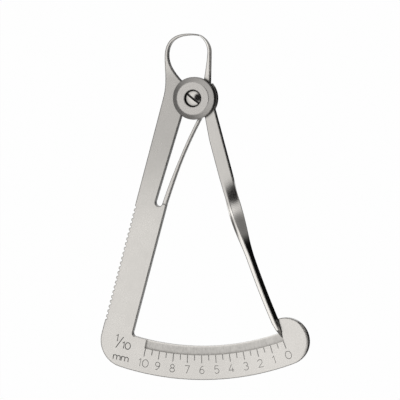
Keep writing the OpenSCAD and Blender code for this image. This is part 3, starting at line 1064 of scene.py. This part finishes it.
@dataclass
class Stage:
    """A white sheet under the object in a white room, and dull things out of sight that the steel mirrors.

    The dull things stand round such a photograph: a dark mat on a grey bench, a soft dark hood round the
    camera, and round grey walls that turn white upwards. The camera does not see them. Steel walls mirror the
    mat, the twist and the screw mirror the hood, and the bevels mirror the walls. Sizes are in metres, and
    the hood's half angles are in degrees.
    """

    camera: "PhotoCamera"
    sheet_low: Span = (-1.0, -0.13)
    sheet_high: Span = (0.03, 0.05)
    sheet_z: float = -0.2
    sheet_tone: float = 0.9
    sheet_glow: float = 0.98
    bench_half: float = 4.0
    bench_z: float = -0.21
    mat_tone: float = 0.01
    bench_tone: float = 0.3
    mat_r: float = 0.156
    bench_r: float = 0.38
    hood_far: float = 1.25
    hood_half: Span = (24.5, 29.0)
    hood_core: float = 0.55
    hood_tone: float = 0.01
    wall_r: float = 1.6
    wall_top: float = 2.05
    sides: int = 48
    wall_fade: Span = (0.45, 1.6)
    side_reach: Span = (-0.2, 0.7)
    rear_reach: Span = (0.2, 0.9)
    left_tone: float = 0.18
    right_tone: float = 0.3
    rear_tone: float = 0.38
    top_tone: float = 0.85

    def board(
        self,
        name: str,
        corners: np.ndarray,
        material: bpy.types.Material,
        shown: bool,
        faces: Optional[list[list[int]]] = None,
    ) -> None:
        """Adds a board.

        Args:
            name: the board's name.
            corners: its points in metres.
            material: its colour.
            shown: whether the camera sees it.
            faces: its faces, or nothing for one flat face with the points as its outline.
        """
        mesh = bpy.data.meshes.new(name)
        mesh.from_pydata(corners.tolist(), [], faces or [list(range(len(corners)))])
        mesh.materials.append(material)
        made = bpy.data.objects.new(name, mesh)
        made.visible_camera = shown
        bpy.context.scene.collection.objects.link(made)

    def level(self, low: Sequence[float], high: Sequence[float], height: float) -> np.ndarray:
        """Corners of a level rectangle that faces up."""
        return np.array([(x, y, height) for x, y in (low, (high[0], low[1]), high, (low[0], high[1]))])

    def white(self) -> bpy.types.Material:
        """White paper that shows its own white and keeps a share of the light and shadow on it.

        Its own white is for rays from the camera, from gloss and through glass.

        Returns:
            The material.
        """
        made = bpy.data.materials.new("white_sheet")
        graph = Graph(made)
        paper = graph.wire("ShaderNodeBsdfDiffuse", sockets={"Color": (*grey(self.sheet_tone), 1)})
        glow = graph.wire("ShaderNodeEmission", sockets={"Color": (1, 1, 1, 1), "Strength": 1.0})
        path = graph.add("ShaderNodeLightPath")
        names = ("Is Camera Ray", "Is Glossy Ray", "Is Transmission Ray")
        camera, gloss, glass = (Wire(graph, path.outputs[name]) for name in names)
        share = camera.larger(gloss).larger(glass) * self.sheet_glow
        graph.close(graph.wire("ShaderNodeMixShader", sockets={0: share, 1: paper, 2: glow}))
        return made

    def dull(self, name: str, tone: Callable[[Graph], Wire]) -> bpy.types.Material:
        """A board whose even light has a grey that may change over it.

        Args:
            name: the material's name.
            tone: gives the grey in the material's graph.

        Returns:
            The material.
        """
        made = bpy.data.materials.new(name)
        graph = Graph(made)
        graph.close(graph.wire("ShaderNodeEmission", sockets={"Color": tone(graph), "Strength": 1.0}))
        return made

    def bench_grey(self, graph: Graph) -> Wire:
        """Bench top that eases from the mat's grey to its own with the distance from the object."""
        away = graph.radius(graph.place()).ease(self.mat_r / MM, self.bench_r / MM)
        return graph.mix(away, grey(self.mat_tone), grey(self.bench_tone))

    def wall_grey(self, graph: Graph) -> Wire:
        """Walls that go from the left's grey to the right's and the rear's, and ease into white upwards.

        Args:
            graph: the material's graph.

        Returns:
            The grey.
        """
        x, y, z = graph.split(graph.place())
        rightwards, rearwards = np.array([self.side_reach, self.rear_reach]) * self.wall_r / MM
        side = graph.mix(x.ease(*rightwards), grey(self.left_tone), grey(self.right_tone))
        round_all = graph.mix(y.ease(*rearwards), side, grey(self.rear_tone))
        low, high = self.wall_fade
        return graph.mix(z.ease(low / MM, high / MM), round_all, grey(self.top_tone))

    def walls(self) -> tuple[np.ndarray, list[list[int]]]:
        """Points and faces of the round wall: two rings, one on the bench and one at the top.

        Returns:
            The points in metres and the faces.
        """
        turn = np.linspace(0, 2 * math.pi, self.sides, endpoint=False)
        flat = self.wall_r * np.column_stack([np.cos(turn), np.sin(turn)])
        rings = [np.column_stack([flat, np.full(len(flat), z)]) for z in (self.bench_z, self.wall_top)]
        here = np.arange(self.sides)
        there = np.roll(here, -1)
        faces = np.column_stack([here, there, there + self.sides, here + self.sides])
        return np.concatenate(rings), faces.tolist()

    def hood_size(self) -> Span:
        """Half the hood's width and half its height."""
        wide, tall = (self.hood_far * math.tan(math.radians(half)) for half in self.hood_half)
        return wide, tall

    def hood_grey(self, graph: Graph) -> Wire:
        """Hood that is dark round the camera and eases into the walls' top grey at its rim.

        Args:
            graph: the material's graph.

        Returns:
            The grey.
        """
        right, up, _ = self.camera.axes()
        wide, tall = self.hood_size()
        place = graph.place()
        across = graph.dot(place, tuple(right)) * (MM / wide)
        above = graph.dot(place, tuple(up)) * (MM / tall)
        spot = graph.wire("ShaderNodeCombineXYZ", sockets={0: across, 1: above})
        away = graph.radius(spot).ease(self.hood_core, 1.0)
        return graph.mix(away, grey(self.hood_tone), grey(self.top_tone))

    def hood(self) -> np.ndarray:
        """Corners of the hood: an ellipse square to the camera's direction, behind the camera.

        Returns:
            The points in metres.
        """
        right, up, back = (np.array(axis) for axis in self.camera.axes())
        turn = np.linspace(0, 2 * math.pi, self.sides, endpoint=False)[:, None]
        wide, tall = self.hood_size()
        return back * self.hood_far + wide * np.cos(turn) * right + tall * np.sin(turn) * up

    def build(self) -> None:
        """Makes the sheet, the dull boards and the room's light."""
        half = self.bench_half
        bench = self.level((-half, -half), (half, half), self.bench_z)
        walls, wall_faces = self.walls()
        self.board("sheet", self.level(self.sheet_low, self.sheet_high, self.sheet_z), self.white(), True)
        self.board("bench", bench, self.dull("bench", self.bench_grey), False)
        self.board("walls", walls, self.dull("walls", self.wall_grey), False, wall_faces)
        self.board("hood", self.hood(), self.dull("hood", self.hood_grey), False)
        world = bpy.data.worlds.new("white_room")
        bpy.context.scene.world = world
        graph = Graph(world)
        room = graph.wire("ShaderNodeBackground", sockets={"Color": (1, 1, 1, 1), "Strength": 1.0})
        graph.close(room, "ShaderNodeOutputWorld")
        LOG.info("stage: sheet, bench, walls, hood, room")


@dataclass
class PhotoCamera:
    """Camera at the photograph's viewing angle: to the reader's right of square, and a little above."""

    side: float = 15.0
    rise: float = 3.3
    distance: float = 1000.0
    scale: float = 0.2866
    target: tuple[float, float, float] = (1.42, -29.17, 2.0)
    sensor: float = 36.0

    def axes(self) -> tuple[Vector, Vector, Vector]:
        """Directions of the picture's right, of its top, and from the target back to the camera.

        Returns:
            The three directions.
        """
        side, rise = math.radians(self.side), math.radians(self.rise)
        back = Vector((math.sin(side) * math.cos(rise), math.sin(rise), math.cos(side) * math.cos(rise)))
        right = Vector((math.cos(side), 0.0, -math.sin(side)))
        return right, back.cross(right), back

    def build(self) -> None:
        """Puts the camera at its distance from the target, looking at it, and makes it the scene's."""
        right, up, back = self.axes()
        data = bpy.data.cameras.new("photo_camera")
        data.sensor_width = self.sensor
        data.lens = self.sensor * self.distance / (self.scale * PICTURE_PX)
        made = bpy.data.objects.new("photo_camera", data)
        turn = Matrix((right, up, back)).transposed().to_4x4()
        made.matrix_world = Matrix.Translation((Vector(self.target) + back * self.distance) * MM) @ turn
        bpy.context.scene.collection.objects.link(made)
        bpy.context.scene.camera = made
        LOG.info("camera: lens %.1f mm", data.lens)


def main() -> None:
    """Builds the camera, the pieces and the stage in order."""
    logging.basicConfig(level=logging.INFO, format="%(name)s %(message)s")
    camera = PhotoCamera()
    camera.build()
    # Finishes; their values for walls, edges and corners set painted shade.
    finishes = {
        "scale_frame": ScaleSteel(
            "ground_scale_steel", tint=(0.705, 0.681, 0.646), wall_tone=0.4, edge_tone=0.25, soil=0.25
        ),
        "pointer_arm": PointerSteel(
            "ground_pointer_steel",
            tint=(0.595, 0.575, 0.546),
            lay=Lay.ALONG_STRIP,
            roughness=0.19,
            grit=0.05,
            wall_tone=0.35,
            wall_rough=0.12,
            bump=0.012,
            edge_samples=16,
            soil=0.95,
        ),
        "pivot_barrel": SteelFinish("turned_barrel_steel", lay=Lay.ROUND_PIVOT),
        "front_disc": SteelFinish(
            "turned_disc_steel",
            tint=(0.6, 0.579, 0.552),
            lay=Lay.ROUND_PIVOT,
            roughness=0.28,
            lines=0.3,
            grit=0.2,
            wall_tone=0.35,
            wall_rough=0.2,
        ),
        "pivot_screw": SteelFinish(
            "polished_screw_steel", roughness=0.14, lay=Lay.ROUND_PIVOT, edge_mm=0.03, soil=0.98
        ),
    }
    SolidParts(finishes).build()
    LeafSpring(SteelFinish("ground_spring_steel", lay=Lay.ALONG_ARM)).build()
    mark_paint = EngravingPaint("mark_paint", dark=(0.17, 0.165, 0.155), thin=(0.4, 0.388, 0.37))
    Engraving(EngravingPaint("engraving_paint"), mark_paint).build()
    Stage(camera).build()
    bpy.context.scene.view_settings.view_transform = "Standard"


if __name__ == "__main__":
    main()
